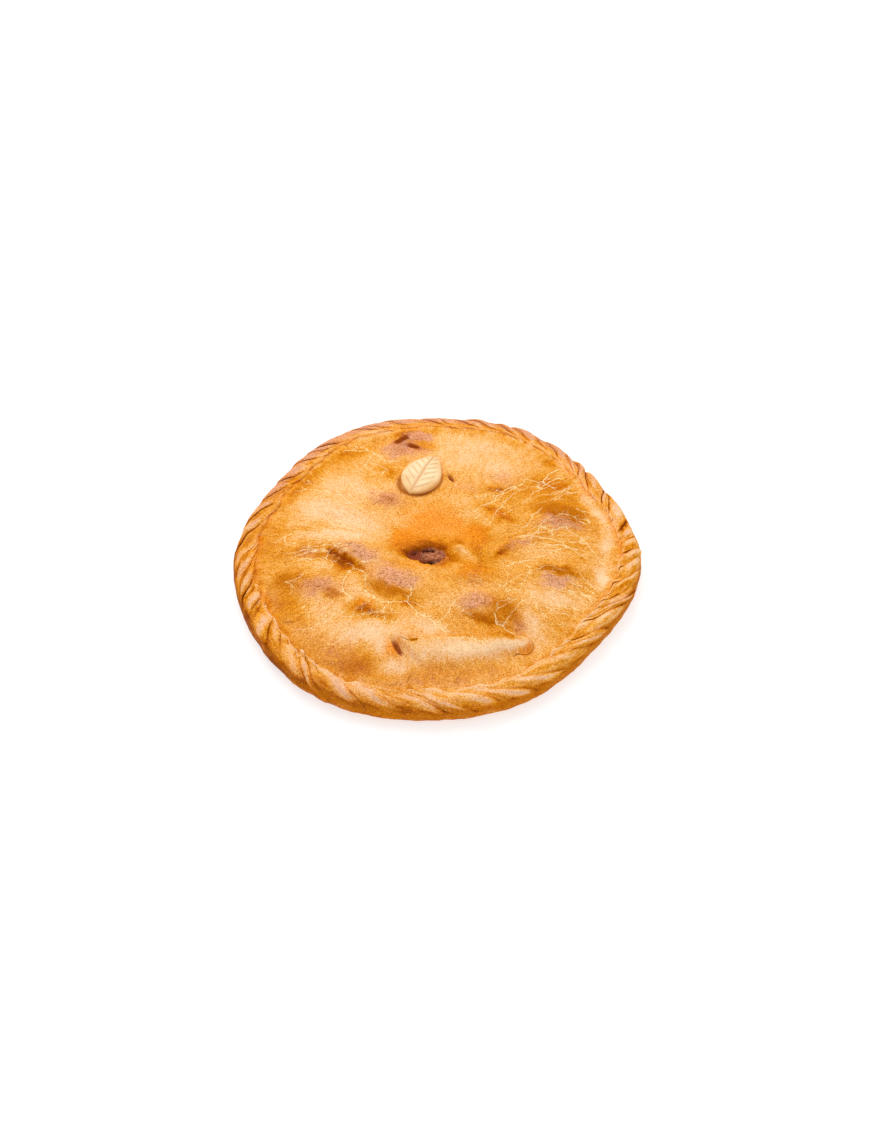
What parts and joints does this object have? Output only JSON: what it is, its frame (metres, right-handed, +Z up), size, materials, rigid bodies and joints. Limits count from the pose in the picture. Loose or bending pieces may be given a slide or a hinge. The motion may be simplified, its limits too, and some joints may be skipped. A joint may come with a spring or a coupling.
{
  "type": "empanada",
  "caption": "Round covered pie with a rope-folded rim, a browned and blistered lid, a steam vent with the filling showing, and a pastry leaf on top.",
  "frame": {"origin": "middle of the outline's box on the flat base, on the surface that the pie stands on", "axes": "+Z up through the lid, -Y towards the pleat at the front, +X to the right as seen from the front"},
  "size_m": [0.3, 0.3006, 0.0347],
  "materials": {
    "crust": "golden baked pastry, egg-washed, with a soft sheen and browned blisters",
    "filling": "dark cooked filling, moist",
    "leaf": "pale baked pastry, lightly glazed"
  },
  "bodies": {
    "root": {"crust": "crust", "filling": "filling", "leaf": "leaf"}
  },
  "joints": []
}
